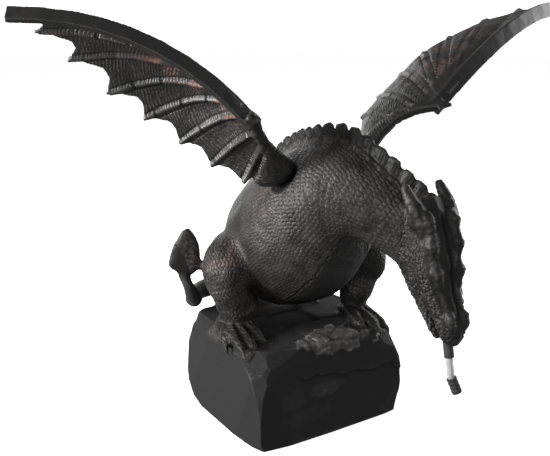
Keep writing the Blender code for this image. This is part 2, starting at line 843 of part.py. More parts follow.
def spout_line():
    """The mouth's place, the hose's direction and the end piece's direction"""
    axis = Vector((0.02, -0.20, -1)).normalized()
    aside = Vector((0.85, -0.53, 0)) * math.tan(TIP_TILT)
    return on_head(2, 99, -10), axis, (axis + aside).normalized()


def pipe(name, path, outer, inner, sides):
    """A tube along the path: the outer wall one way, the bore's wall back"""
    upright = Vector((0, 1, 0))
    there = frames_along([(*point, outer / 2, outer / 2) for point in path], upright)
    back = frames_along([(*point, inner / 2, inner / 2) for point in path], upright)
    bm = bmesh.new()
    skin(bm, there + back[::-1], sides, loop=True)
    return new_object(name, bm)


def spout():
    """Sleeve, hose and end piece, one inside the next with a small gap"""
    mouth, axis, tip_axis = spout_line()
    sleeve_bore = HOSE_DIAMETER + 2 * FIT_GAP
    sleeve_outer = sleeve_bore + 2 * SLEEVE_WALL
    sleeve_top = mouth - axis * SLEEVE_HELD
    sleeve_end = mouth + axis * SLEEVE_SHOWN
    hose_end = sleeve_end + axis * HOSE_SHOWN
    sleeve = pipe("spout_sleeve", [sleeve_top, sleeve_end], sleeve_outer, sleeve_bore, SPOUT_SIDES)
    bend = [hose_end - tip_axis * 0.001 - axis * 0.004, hose_end - tip_axis * 0.001]
    hose_path = [sleeve_top + axis * FIT_GAP, *bend, hose_end + tip_axis * TIP_GRIP * 0.9]
    hose = pipe("spout_hose", hose_path, HOSE_DIAMETER, HOSE_BORE, SPOUT_SIDES)
    grip_bore = HOSE_DIAMETER + 2 * FIT_GAP
    outer = (grip_bore + 2 * TIP_WALL) / 2
    tip = end_piece(hose_end, tip_axis, outer, grip_bore / 2)
    shade(sleeve, black_rubber(), 40)
    shade(hose, clear_hose(), 40)
    shade(tip, black_rubber(), 25)
    return sleeve_outer


def end_piece(start, axis, outer, grip):
    """End of the spout: a stepped bore inside a ribbed barrel"""
    upright = Vector((0, 1, 0))
    frames = []
    rings = 4
    for i in range(rings):
        for share, radius in ((0.0, 1.0), (0.5, 1.0), (0.6, 0.92), (0.9, 0.92)):
            place = start + axis * TIP_LENGTH * (i + share) / rings
            frames.append(ring_frame(place, axis, upright, outer * radius, outer * radius))
    inner = [
        (TIP_LENGTH, TIP_BORE / 2),
        (TIP_GRIP + 2 * FIT_GAP, TIP_BORE / 2),
        (TIP_GRIP + FIT_GAP, grip),
        (0, grip),
    ]
    for place, radius in inner:
        frames.append(ring_frame(start + axis * place, axis, upright, radius, radius))
    bm = bmesh.new()
    skin(bm, frames, SPOUT_SIDES, loop=True)
    return new_object("spout_tip", bm)


def new_bmesh_box(centre, size):
    bm = bmesh.new()
    bmesh.ops.create_cube(bm, size=size, matrix=Matrix.Translation(centre))
    return bm


def mouth_socket(sleeve_outer):
    """Cutter for the hole between the jaws that holds the sleeve"""
    mouth, axis, _ = spout_line()
    radius = sleeve_outer / 2 + FIT_GAP
    path = [mouth - axis * (SLEEVE_HELD + FIT_GAP), mouth + axis * SLEEVE_SHOWN * 2]
    bm = bmesh.new()
    skin(bm, frames_along([(*point, radius, radius) for point in path], Vector((0, 1, 0))), SPOUT_SIDES)
    return new_object("mouth_socket", bm)


def dragon(sleeve_outer):
    """The casting: rock, body, tail, legs, head, crest and belly band in one solid"""
    made = rock()
    made.append(limb("body", BODY, 16, 2))
    made.append(limb("tail", TAIL, 8, 2))
    made.append(spade())
    made.append(belly())
    made += crest() + head()
    made += leg("right_leg", *RIGHT_LEG) + leg("left_leg", *LEFT_LEG)
    base = gather("dragon_on_rock", made)
    even_skin(base, BODY_GRAIN, BODY_FACETS)
    floor = new_bmesh_box((0, 0, -ROCK_WIDTH), ROCK_WIDTH * 2)
    cut(base, new_object("ground", floor), "flat_underside")
    for name, side in (("right", RIGHT_WING), ("left", LEFT_WING)):
        turned = plug_frame(side, wing_frame(side))
        socket = oval(f"{name}_socket", turned, SOCKET_LENGTH / 2, SOCKET_WIDTH / 2, SOCKET_DEPTH)
        cut(base, socket, f"{name}_socket_cut")
    cut(base, mouth_socket(sleeve_outer), "mouth_cut")
    shade(base, black_resin(), 35)


clear_scene()
wing("wing_right", RIGHT_WING)
wing("wing_left", LEFT_WING)
dragon(spout())
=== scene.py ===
import math

import bmesh
import bpy
import numpy as np
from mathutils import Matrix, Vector, kdtree, noise


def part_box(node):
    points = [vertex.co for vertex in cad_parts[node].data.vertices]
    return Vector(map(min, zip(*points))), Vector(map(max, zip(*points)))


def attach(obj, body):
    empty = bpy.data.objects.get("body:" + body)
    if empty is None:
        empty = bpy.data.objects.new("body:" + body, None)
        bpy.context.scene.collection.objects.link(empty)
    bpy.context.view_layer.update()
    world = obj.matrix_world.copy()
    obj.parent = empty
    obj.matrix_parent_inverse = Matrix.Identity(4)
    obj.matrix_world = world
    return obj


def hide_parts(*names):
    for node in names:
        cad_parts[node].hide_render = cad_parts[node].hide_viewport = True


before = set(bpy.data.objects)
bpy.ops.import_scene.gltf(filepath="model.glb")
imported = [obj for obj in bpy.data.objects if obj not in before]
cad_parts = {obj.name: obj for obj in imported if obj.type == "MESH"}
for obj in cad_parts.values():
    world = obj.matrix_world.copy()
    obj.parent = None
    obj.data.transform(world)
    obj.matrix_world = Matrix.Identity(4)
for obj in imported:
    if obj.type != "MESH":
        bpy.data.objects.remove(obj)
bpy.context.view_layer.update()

# the figure is measured in its own units, each a millimetre on the CAD model
figureLow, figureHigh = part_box("dragon_on_rock")
figureHeight = 279.9
unit = (figureHigh[2] - figureLow[2]) / figureHeight
rockHeight = 88


class Wire:
    """A node's output with the sums that the finishes need"""

    def __init__(self, tree, socket):
        self.tree = tree
        self.socket = socket

    def node(self, kind, settings, **sockets):
        made = self.tree.nodes.new(kind)
        for name, value in settings.items():
            setattr(made, name, value)
        for name, value in sockets.items():
            numbered = name[0] == "n" and name[1:].isdigit()
            target = made.inputs[int(name[1:])] if numbered else made.inputs[name.replace("_", " ")]
            if isinstance(value, Wire):
                self.tree.links.new(value.socket, target)
            else:
                target.default_value = value
        return made

    def sum(self, operation, first, second=0.0, clamp=False):
        made = self.node("ShaderNodeMath", {"operation": operation, "use_clamp": clamp}, n0=first, n1=second)
        return Wire(self.tree, made.outputs[0])

    def __add__(self, other):
        return self.sum("ADD", self, other)

    def __radd__(self, other):
        return self.sum("ADD", other, self)

    def __sub__(self, other):
        return self.sum("SUBTRACT", self, other)

    def __rsub__(self, other):
        return self.sum("SUBTRACT", other, self)

    def __mul__(self, other):
        return self.sum("MULTIPLY", self, other)

    def __rmul__(self, other):
        return self.sum("MULTIPLY", other, self)

    def __gt__(self, other):
        return self.sum("GREATER_THAN", self, other)

    def __mod__(self, other):
        return self.sum("FLOORED_MODULO", self, other)

    def whole(self):
        return self.sum("FLOOR", self)

    def nearest(self):
        return self.sum("ROUND", self)

    def wave(self):
        return self.sum("SINE", self)

    def held(self):
        return self.sum("ADD", self, 0.0, clamp=True)

    def ramp(self, low, high):
        smooth = {"interpolation_type": "SMOOTHSTEP"}
        made = self.node("ShaderNodeMapRange", smooth, Value=self, From_Min=low, From_Max=high)
        return Wire(self.tree, made.outputs["Result"])

    def mixed(self, first, second):
        """Colour that runs from the first to the second as this value goes from 0 to 1"""
        made = self.node("ShaderNodeMix", {"data_type": "RGBA"}, n0=self, n6=first, n7=second)
        return Wire(self.tree, made.outputs[2])


def newMaterial(name, **values):
    material = bpy.data.materials.new(name)
    material.use_nodes = True
    shader = material.node_tree.nodes["Principled BSDF"]
    for key, value in values.items():
        shader.inputs[key.replace("_", " ")].default_value = value
    tree = material.node_tree
    place = Wire(tree, tree.nodes.new("ShaderNodeTexCoord").outputs["Object"])
    return material, shader, place


def cloud(place, scale, detail=4.0, roughness=0.6):
    made = place.node("ShaderNodeTexNoise", {}, Vector=place, Scale=scale, Detail=detail, Roughness=roughness)
    return Wire(place.tree, made.outputs[0])


def cells(place, scale):
    made = place.node("ShaderNodeTexVoronoi", {}, Vector=place, Scale=scale)
    return Wire(place.tree, made.outputs["Distance"])


def painted(place, name):
    made = place.node("ShaderNodeAttribute", {"attribute_name": name})
    return Wire(place.tree, made.outputs["Fac"])


def plug(source, shader, name):
    source.tree.links.new(source.socket, shader.inputs[name])


def bump(height, shader, strength, distance):
    made = height.node("ShaderNodeBump", {}, Height=height, Strength=strength, Distance=distance)
    height.tree.links.new(made.outputs[0], shader.inputs["Normal"])


# colours that more than one paint has
# painted shade: the near black laid where shade falls, in hollows, seams and crevices
paintedShadeBlack = (0.0015, 0.0014, 0.0014, 1)
# lighter black for rubbed wear and for the painted highlight on edges that stand out
rubbedAndHighlightBlack = (0.055, 0.049, 0.046, 1)


def overlaps(row, column):
    """Height of the overlapping scales, the same sum as shingles makes on the mesh"""
    own = row.whole()
    back = 1 - (row - own)
    mine = column + (own % 2) * 0.5
    across = (mine - mine.nearest()) * 2
    ahead = column + ((own + 1) % 2) * 0.5
    beside = (ahead - ahead.nearest()) * 2
    covered = ((1 - beside * beside) * 0.6) > back
    edge = across + covered * (beside - across)
    return back * 0.5 + 0.25 + covered * 0.5 - (edge * edge) * (edge * edge) * 0.3


def castingFinish():
    """Satin black paint: scales, pebbles and broken stone by painted shares, lighter where it stands up from
    rubbed wear and a painted highlight, near black under painted shade
    """
    material, shader, place = newMaterial("casting_paint", Specular_IOR_Level=0.20)
    scaly, pebbly, stone = painted(place, "scaly"), painted(place, "pebbly"), painted(place, "stone")
    edgeWearAndHighlight, shade, bronze = painted(place, "wearAndHighlight"), painted(place, "shade"), painted(place, "bronze")
    scale = overlaps(painted(place, "row"), painted(place, "column"))
    pebble = 1 - cells(place, 400)
    grime = cloud(place, 60, 5)
    speckle = cloud(place, 1000, 2)
    chips = cells(place, 150)
    broken = cloud(place, 190, 6, 0.7)
    # standing crowns and edges lighter: dry-brushed wear and a painted highlight
    raised = (scale * scale * scaly + pebble * pebble * pebbly * 0.8 + edgeWearAndHighlight * 0.7).held()
    brushedAndHighlight = (raised * grime.ramp(0.3, 0.62)).held()
    skin = brushedAndHighlight.mixed((0.0075, 0.0068, 0.0065, 1), rubbedAndHighlightBlack)
    skin = (bronze * brushedAndHighlight * grime.ramp(0.4, 0.6)).held().mixed(skin, (0.15, 0.062, 0.042, 1))
    # the stone is paler on the outcrop, and a painted highlight lightens its standing edges
    dustAndHighlight = ((0.35 + broken.ramp(0.36, 0.60) * 0.65) * (0.04 + edgeWearAndHighlight * 0.96)).held()
    rockColour = dustAndHighlight.mixed((0.0090, 0.0086, 0.0086, 1), (0.095, 0.091, 0.088, 1))
    colour = stone.mixed(skin, rockColour)
    # painted shade: the colour darkens towards near black by the shade attribute
    colour = shade.mixed(colour, paintedShadeBlack)
    plug(colour, shader, "Base Color")
    satin = grime * 0.18 + 0.40 - brushedAndHighlight * 0.10
    wet = broken.ramp(0.35, 0.65) * 0.14 + 0.78 - edgeWearAndHighlight * 0.42
    plug(satin + stone * (wet - satin) + shade * 0.3, shader, "Roughness")
    height = scale * scaly + pebble * pebbly * 1.2 + stone * (broken * (0.10 + edgeWearAndHighlight * 0.6) + chips * 0.06)
    bump(height + speckle * 0.10 + grime * 0.2, shader, 0.9, 0.0012)
    return material


def webFinish():
    """Wing paint: fine wrinkles across the web, bronze brushed over ribs near the leading band, a painted
    highlight on standing parts, painted shade in joints, hollows and at the root
    """
    material, shader, place = newMaterial("wing_paint", Specular_IOR_Level=0.35)
    web, rib, notch, bronze = (painted(place, name) for name in ("web", "rib", "notch", "bronze"))
    far, shade = painted(place, "far"), painted(place, "shade")
    grime = cloud(place, 70, 5)
    waver = cloud(place, 45, 3) * 26
    lines = (far * 2.35 + waver).wave() * 0.5 + 0.5
    broken = cloud(place, 330, 3).ramp(0.35, 0.6)
    wrinkle = lines * broken * web
    # ribs, wrinkles and standing parts lighter: dry-brushed wear and a painted highlight
    raised = (rib * (1 - notch) * 0.5 + wrinkle * 0.7).held()
    brushedAndHighlight = (raised * grime.ramp(0.3, 0.65)).held()
    colour = brushedAndHighlight.mixed((0.0080, 0.0072, 0.0069, 1), rubbedAndHighlightBlack)
    tinted = (bronze * (0.12 + brushedAndHighlight) * grime.ramp(0.42, 0.58)).held()
    colour = tinted.mixed(colour, (0.19, 0.082, 0.058, 1))
    # painted shade: the web darkens towards near black by the shade attribute
    colour = shade.mixed(colour, paintedShadeBlack)
    plug(colour, shader, "Base Color")
    plug(grime * 0.2 + 0.38 - rib * 0.06, shader, "Roughness")
    bump(wrinkle * 0.8 + grime * 0.35 + cloud(place, 900, 2) * 0.15, shader, 0.7, 0.0006)
    return material


def hoseFinish():
    material, shader, place = newMaterial("clear_tube", IOR=1.4, Alpha=0.6)
    haze = cloud(place, 300, 3)
    plug(haze.ramp(0.3, 0.8).mixed((0.40, 0.41, 0.41, 1), (0.24, 0.25, 0.25, 1)), shader, "Base Color")
    plug(haze * 0.12 + 0.08, shader, "Roughness")
    return material


def rubberFinish():
    material, shader, place = newMaterial("black_rubber", Specular_IOR_Level=0.3)
    grain = cloud(place, 1400, 3)
    plug(cloud(place, 90).mixed((0.010, 0.010, 0.010, 1), (0.03, 0.03, 0.03, 1)), shader, "Base Color")
    plug(grain * 0.2 + 0.45, shader, "Roughness")
    bump(grain, shader, 0.25, 0.0003)
    return material


def grainOf(skin):
    return skin["grain"]


def copyOf(node):
    """The CAD node's mesh in a mesh of its own, its corners joined"""
    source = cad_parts[node]
    bm = bmesh.new()
    bm.from_mesh(source.data)
    bmesh.ops.transform(bm, matrix=source.matrix_world, verts=bm.verts)
    bmesh.ops.remove_doubles(bm, verts=bm.verts, dist=1e-6)
    return bm


def sliced(bm, height, keepAbove):
    bmesh.ops.bisect_plane(
        bm, geom=bm.verts[:] + bm.edges[:] + bm.faces[:], dist=1e-6, plane_co=(0, 0, height),
        plane_no=(0, 0, 1), clear_inner=keepAbove, clear_outer=not keepAbove,
    )
    bmesh.ops.holes_fill(bm, edges=[edge for edge in bm.edges if edge.is_boundary])
    return bm


def toObject(bm, name):
    mesh = bpy.data.meshes.new(name)
    bm.to_mesh(mesh)
    bm.free()
    thing = bpy.data.objects.new(name, mesh)
    bpy.context.scene.collection.objects.link(thing)
    return thing


def remeshed(thing, grain, smoothing):
    """The same solid in an even skin, its modifiers carried out"""
    over = thing.modifiers.new("skin", "REMESH")
    over.mode = "VOXEL"
    over.voxel_size = grain
    over.use_smooth_shade = True
    soft = thing.modifiers.new("soft", "SMOOTH")
    soft.factor = 0.5
    soft.iterations = smoothing
    shape = bpy.data.meshes.new_from_object(thing.evaluated_get(bpy.context.evaluated_depsgraph_get()))
    thing.modifiers.clear()
    thing.data = shape
    return thing


def cornersOf(mesh):
    spots = np.empty(len(mesh.vertices) * 3)
    mesh.vertices.foreach_get("co", spots)
    out = np.empty(len(mesh.vertices) * 3)
    mesh.vertex_normals.foreach_get("vector", out)
    return spots.reshape(-1, 3), out.reshape(-1, 3)


def moved(mesh, spots):
    mesh.vertices.foreach_set("co", spots.ravel())
    mesh.update()


def eased(mesh, spots, share, rounds):
    """Corners drawn to the middle of their neighbours, by each corner's share"""
    ends = np.empty(len(mesh.edges) * 2, int)
    mesh.edges.foreach_get("vertices", ends)
    first, second = ends.reshape(-1, 2).T
    count = np.bincount(ends, minlength=len(spots))
    share = np.where(share < 0.01, 0, share)
    near = (share[first] > 0) | (share[second] > 0)
    first, second = first[near], second[near]
    spots = spots.copy()
    for _ in range(rounds):
        for axis in range(3):
            line = spots[:, axis]
            total = np.bincount(first, line[second], len(line)) + np.bincount(second, line[first], len(line))
            line += (total / count - line) * share * 0.6
    return spots


def standing(mesh, rounds):
    """How far each corner stands out of its surroundings, in units, below 0 in hollows"""
    spots, normals = cornersOf(mesh)
    soft = eased(mesh, spots, np.ones(len(spots)), rounds)
    return ((spots - soft) * normals).sum(1) / unit


def layer(mesh, name, values):
    made = mesh.attributes.new(name, "FLOAT", "POINT")
    made.data.foreach_set("value", values.astype(np.float32))


def paint(mesh, name, values):
    layer(mesh, name, np.clip(values, 0, 1))


def step(values, low, high):
    t = np.clip((values - low) / (high - low), 0, 1)
    return t * t * (3 - 2 * t)


def ridge(values, width):
    return np.exp(-(values / width) ** 2)


def smoothLine(rows, steps):
    """Catmull-Rom line through the rows"""
    rows = np.array(rows, float)
    out = []
    for i in range(len(rows) - 1):
        before, after = rows[max(i - 1, 0)], rows[min(i + 2, len(rows) - 1)]
        start, end = rows[i], rows[i + 1]
        for t in np.arange(steps) / steps:
            out.append(
                start * (1 - 3 * t ** 2 + 2 * t ** 3) + end * (3 * t ** 2 - 2 * t ** 3)
                + (end - before) * 0.5 * (t - 2 * t ** 2 + t ** 3) + (after - start) * 0.5 * (t ** 3 - t ** 2)
            )
    out.append(rows[-1])
    return np.array(out)


def along(rows, spots, upright):
    """Run, angle, closeness and radius of every spot round a limb's middle line"""
    line = smoothLine(rows, 6)
    middle = line[:, :3]
    run = np.concatenate([[0], np.cumsum(np.linalg.norm(np.diff(middle, axis=0), axis=1))])
    best = np.empty(len(spots), int)
    for k in range(0, len(spots), 20000):
        part = spots[k:k + 20000]
        best[k:k + 20000] = ((part[:, None, :] - middle[None]) ** 2).sum(2).argmin(1)
    tangent = np.gradient(middle, axis=0)
    tangent /= np.linalg.norm(tangent, axis=1)[:, None]
    side = np.cross(tangent, upright)
    side /= np.linalg.norm(side, axis=1)[:, None]
    top = np.cross(side, tangent)
    offset = spots - middle[best]
    ahead = (offset * tangent[best]).sum(1)
    sideways = (offset * side[best]).sum(1) / line[best, 3]
    upward = (offset * top[best]).sum(1) / line[best, 4]
    radius = 0.5 * (line[best, 3] + line[best, 4])
    behind = np.where(best == 0, np.minimum(ahead, 0), 0) / radius
    reach = np.sqrt(sideways ** 2 + upward ** 2 + behind ** 2)
    return run[best] + ahead, np.arctan2(sideways, upward), reach, radius


def shingles(row, column):
    """Overlapping scales, tips towards the tail: low where one tucks under, high at its tip"""
    own = np.floor(row)
    back = 1 - (row - own)
    mine = column + (own % 2) * 0.5
    across = (mine - np.round(mine)) * 2
    ahead = column + ((own + 1) % 2) * 0.5
    beside = (ahead - np.round(ahead)) * 2
    covered = (1 - beside ** 2) * 0.6 > back
    edge = np.where(covered, beside, across)
    return back * 0.5 + 0.25 + covered * 0.5 - edge ** 4 * 0.3


def pebbles(spots, pitch):
    """Uneven rounded lumps: 0 in the grooves to 1 on the crowns"""
    out = np.empty(len(spots))
    for i, spot in enumerate(spots / pitch):
        near = noise.voronoi(spot)[0]
        out[i] = min(1, (near[1] - near[0]) * 2.4)
    return out


def lumps(spots, size, seed=0.0):
    out = np.empty(len(spots))
    for i, spot in enumerate(spots / size + seed):
        out[i] = noise.noise(spot)
    return out


def planes(spots, size, tilt):
    """Broken faces: in every cell the surface leans its own way"""
    out = np.empty(len(spots))
    for i, spot in enumerate(spots / size):
        middle = noise.voronoi(spot)[1][0]
        lean = noise.cell_vector(middle * 9.7)
        out[i] = (Vector(spot) - middle).dot(lean) * tilt * size
    return out


# the rock: flat cuts struck off the block, with turn and climb in degrees and how deep each goes in units
rockCuts = {
    "front": [(-85, 2, 4), (-97, -3, 3.5), (-90, 9, 3), (-80, -9, 4), (-101, 14, 3), (-88, -24, 3)],
    "left": [(175, 3, 3.5), (188, -4, 4), (181, 11, 3.5), (170, -14, 4), (194, 22, 4)],
    "right": [(-5, 5, 4), (8, -4, 3.5), (-12, 16, 4), (3, -20, 4)],
    "back": [(86, 4, 4), (96, -5, 4), (90, 14, 3.5), (101, -22, 4)],
    "corners": [
        (-139, 9, 3), (-124, 24, 4), (-118, -16, 3), (-150, 34, 4), (-62, 12, 3), (-50, 30, 4), (-38, -12, 3),
        (-28, 24, 4), (-104, 44, 3.5), (-76, 38, 3.5), (176, 44, 4), (-4, 42, 4), (52, 20, 4), (128, 22, 4),
        (40, -14, 4), (141, -10, 4), (88, 44, 4), (-70, -34, 3), (-160, -30, 4), (-20, -34, 4),
    ],
}
bm = copyOf("dragon_on_rock")
block = np.array([vert.co for vert in bm.verts]) / unit
bm.free()
block = block[block[:, 2] < rockHeight + 1]
blockMiddle = np.array([0, 0, rockHeight / 2])
cutPlanes = []
for turn, climb, depth in sum(rockCuts.values(), []):
    turn, climb = math.radians(turn), math.radians(climb)
    way = np.array([math.cos(turn) * math.cos(climb), math.sin(turn) * math.cos(climb), math.sin(climb)])
    cutPlanes.append((way, ((block - blockMiddle) @ way).max() - depth))
# rough places on the stone: middle, radii and strength
roughPlaces = [
    ((12, -62, 87), (46, 17, 14), 0.75),
    ((-8, -74, 45), (19, 9, 7), 0.2),
    ((-44, -74, 42), (14, 9, 10), 0.08),
    ((48, -40, 84), (16, 18, 9), 0.25),
    ((-30, -74, 24), (26, 9, 8), 0.07),
]
# the ledge across the rock's front, in units
ledge = {"front": (52, 64), "height": 58, "fall": 0.16, "waver": 9, "left": (-46, -30), "depth": 1.3}


def stoneShape(spots, normals):
    """The broken stone: flat cuts, a ledge on the front, soft swells and a rough outcrop on top"""
    place = spots / unit
    shaped = place.copy()
    for way, reach in cutPlanes:
        shaped -= way * np.clip((shaped - blockMiddle) @ way - reach, 0, 5)[:, None]
    front = step(-place[:, 1], *ledge["front"]) * step(place[:, 0], *ledge["left"])
    ledgeLine = ledge["height"] - ledge["fall"] * place[:, 0] + lumps(place, 16, 3.1) * ledge["waver"]
    overLedge = place[:, 2] - ledgeLine
    out = -front * (1 - step(overLedge, -0.8, 0.8)) * ledge["depth"]
    out += lumps(place, 40, 5.5) * 0.9 + lumps(place, 5, 8) * 0.05
    rough = np.zeros(len(spots))
    ragged = lumps(place, 7, 1.7) * 0.35
    for middle, radii, strong in roughPlaces:
        off = np.linalg.norm((place - np.array(middle)) / np.array(radii), axis=1)
        rough = np.maximum(rough, strong * (1 - step(off + ragged, 0.84, 1.04)))
    broken = step(lumps(place, 4, 4.4) + lumps(place, 1.7, 2.2) * 0.6, -0.5, 0.4)
    out += rough * (1.5 + planes(place + 50, 19, 0.34) + broken * 0.5)
    shaped += normals * (out * step(place[:, 2], 0.5, 5))[:, None]
    shaped[:, 2] = np.where(place[:, 2] < 0.8, 0, shaped[:, 2])
    # the crease under the ledge, which gets painted shade
    crease = front * ridge(overLedge + 0.6, 0.9)
    return shaped * unit, rough * (0.6 + 0.4 * broken), crease


# the dragon, cut from the rock at the seam
dragonSkin = {
    "grain": 0.00095, "quickGrain": 0.0016, "smoothing": 3, "easing": 100, "throatEasing": 260,
    "seam": 72, "lap": 4,
}
# a leg's middle line: place, and half its width and height there
legLine = [
    (30, 28, 66, 22, 22),
    (48, 20, 63, 25, 25),
    (61, 7, 55, 24, 26),
    (69, -4, 46, 20, 21),
    (66, -6, 35, 18, 17),
    (60, -7, 24, 18, 17),
    (62, -2, 12, 14, 13),
    (67, 2, 4, 11, 10),
]
# each limb's line, its upright, the pitch of its scales at both ends and how strong they are
limbLines = {
    "body": {
        "rows": [
            (0, 72, 20, 9, 9),
            (0, 66, 27, 22, 20),
            (0, 54, 38, 40, 37),
            (0, 36, 53, 51, 52),
            (0, 10, 71, 58, 63),
            (0, -16, 90, 59, 66),
            (0, -41, 110, 53, 62),
            (0, -62, 125, 46, 53),
            (2, -80, 134, 37, 43),
            (6, -97, 132, 31, 34),
            (11, -111, 126, 27, 29),
            (17, -123, 118, 25, 26),
            (24, -134, 109, 24, 25),
            (29, -144, 99, 19, 20),
        ],
        "upright": (0, 0, 1), "pitch": (2.5, 4.0), "strength": 1.0,
    },
    "tail": {
        "rows": [
            (0, 58, 28, 20, 18),
            (-8, 76, 18, 15, 14),
            (-30, 88, 12, 11, 11),
            (-56, 80, 11, 9, 9),
            (-72, 60, 13, 8, 8),
            (-79, 42, 19, 7.5, 7.5),
            (-87, 30, 29, 7.5, 7),
            (-93, 28, 40, 7, 5.5),
        ],
        "upright": (0, 0, 1), "pitch": (3.2, 2.6), "strength": 0.8,
    },
    "rightLeg": {
        "rows": [(-x, y, z, wide, high) for x, y, z, wide, high in legLine],
        "upright": (0, 1, 0), "pitch": (4.2, 3.0), "strength": 1.2,
    },
    "leftLeg": {
        "rows": [(x - 2, y - 24, z + 5, wide * 0.95, high * 0.95) for x, y, z, wide, high in legLine],
        "upright": (0, 1, 0), "pitch": (4.2, 3.0), "strength": 1.2,
    },
}

# places on the figure, measured from the top of the rock
toeTips = ((-79, -50), (-67, -52), (-54, -44), (-85, -30), (62, -72), (50, -74), (37, -66), (68, -54))
napePlace, headTilt = (28, -148, 123), 66
throatPlace, throatSize = (3, -90, 96), 30
wingSeats, seatReach = (0, -52, 150), (70, 45, 45)
bronzeSpots = {"thigh": ((-72, 4, 62), 17, 0.8), "back": ((-40, -30, 138), 24, 0.35)}
# half the angle between the two belly seams
bellyHalf = 0.46
# how deep each kind of relief goes, in units
depths = {
    "scale": 0.8, "bellySeam": 0.9, "bellyLine": 0.16, "bead": 0.7, "crestLine": 0.22, "crestLump": 0.3,
    "cheek": 1.0, "groove": 1.5, "muzzleRing": 0.13, "browLine": 0.14, "browLump": 0.7, "browGrain": 0.25,
    "mouth": 2.0, "toeLine": 0.16, "toePebble": 0.25, "fold": 0.7, "smallFold": 0.35, "wingSeat": 1.8,
}


def spotOn(figure, middle, size):
    """1 at a place on the figure, fading over the size around it"""
    return ridge(np.linalg.norm(figure - np.array(middle), axis=1), size)


# the casting over the seam: an even skin, its facets eased away, then the relief
seam = dragonSkin["seam"] * unit
lap = dragonSkin["lap"] * unit
bm = sliced(copyOf("dragon_on_rock"), seam - lap, True)
dragon = remeshed(toObject(bm, "dragon"), grainOf(dragonSkin), dragonSkin["smoothing"])
print("dragon skin", len(dragon.data.polygons))

# the nearest limb gives each corner its row and column of scales
spots, normals = cornersOf(dragon.data)
figure = spots / unit - np.array([0, 0, rockHeight])
closest = np.full(len(spots), 9.0)
row, column, strength = np.zeros((3, len(spots)))
limbOf = np.zeros(len(spots), int)
for number, (name, limb) in enumerate(limbLines.items()):
    run, angle, reach, radius = along(limb["rows"], figure, limb["upright"])
    places = np.linspace(-20, run.max() + 20, 400)
    if name == "body":
        bodyRun, bodyAngle, bodyReach = run, angle, reach
        pitches = np.interp(places, (60, 200), limb["pitch"])
    else:
        pitches = np.full(len(places), sum(limb["pitch"]) / 2)
    rows = np.concatenate([[0], np.cumsum(np.diff(places) / pitches[1:])])
    nearer = reach < closest
    closest[nearer] = reach[nearer]
    limbOf[nearer] = number
    row[nearer] = np.interp(run, places, rows)[nearer]
    column[nearer] = (angle * radius / np.interp(run, places, pitches))[nearer]
    strength[nearer] = limb["strength"]

onBody, onTail = limbOf == 0, limbOf == 1
strength *= np.where(onBody, np.interp(bodyRun, (110, 200), (0.6, 1.2)), 1)
row += lumps(figure, 5, 2) * 0.35
column += lumps(figure, 5, 9) * 0.35

# where head, crest, rock, toes and plain skin lie, from 0 to 1
tilt = math.radians(headTilt)
fromHead = figure - np.array(napePlace)
headSide = fromHead[:, 0]
headRun = fromHead @ np.array([0, -math.cos(tilt), -math.sin(tilt)])
headLift = fromHead @ np.array([0, -math.sin(tilt), math.cos(tilt)])
onHead = step(-fromHead[:, 1] - 0.35 * fromHead[:, 2], -6, 8) * step(-figure[:, 1], 118, 126)
onCrest = onBody * step(bodyReach, 1.06, 1.12) * ridge(bodyAngle, 0.5) * (1 - onHead) * step(bodyRun, 15, 40)
ridgeSide = np.abs(bodyAngle) * np.interp(bodyRun, (60, 240), (56, 26))
onRock = step(4.5 - figure[:, 2], 0, 4) * step(closest, 1.02, 1.25)
for toeX, toeY in toeTips:
    onRock *= step(np.hypot(figure[:, 0] - toeX * 0.95, figure[:, 1] - toeY * 0.86), 9, 13)
    onRock = np.maximum(onRock, step(-6 - figure[:, 2], 0, 4))
onToes = step(20 - figure[:, 2], 0, 12) * (1 - onRock) * step(closest, 1.0, 1.3)
skinShare = (1 - onHead) * (1 - onRock) * (1 - onCrest) * (1 - onToes)
print("dragon masks")

inner = step(1.35 - closest, 0, 0.25)
throat = spotOn(figure, throatPlace, throatSize) * (1 - onHead)
spots = eased(dragon.data, spots, skinShare * inner * (0.35 + 0.65 * onBody), dragonSkin["easing"])
spots = eased(dragon.data, spots, step(throat, 0.25, 0.6), dragonSkin["throatEasing"])
moved(dragon.data, spots)
spots, normals = cornersOf(dragon.data)
print("dragon eased")

# the seat of each wing: a crevice dug round its shoulder and painted with shade
wingPlaces = []
for node in ("wing_right", "wing_left"):
    bm = copyOf(node)
    wingPlaces += [face.calc_center_median() for face in bm.faces] + [vert.co.copy() for vert in bm.verts]
    bm.free()
wingTree = kdtree.KDTree(len(wingPlaces))
for i, place in enumerate(wingPlaces):
    wingTree.insert(place, i)
wingTree.balance()
rootGap = np.full(len(spots), 99.0)
nearSeats = (np.abs(figure - np.array(wingSeats)) < np.array(seatReach)).all(1)
for i in np.nonzero(nearSeats)[0]:
    rootGap[i] = wingTree.find(spots[i])[2] / unit
lowSide = step(152 - figure[:, 2], 0, 6)
seat = 1 - step(rootGap - lowSide * 2.5, 1.6, 4.2)

# scales all over the skin, fainter on the belly and none on the tail's spade
under = math.pi - np.abs(bodyAngle)
alongBelly = onBody * step(bodyRun, 70, 90)
onNeck = onBody * step(bodyRun, 175, 200)
inBelly = alongBelly * step(bellyHalf - under, 0, 0.06) * (1 - onHead) * (1 - 0.5 * onNeck)
onSpade = onTail * step(figure[:, 2], 42, 50)
scaly = skinShare * strength * (1 - inBelly * 0.85) * (1 - onSpade)
relief = scaly * (shingles(row, column) - 0.4) * depths["scale"]

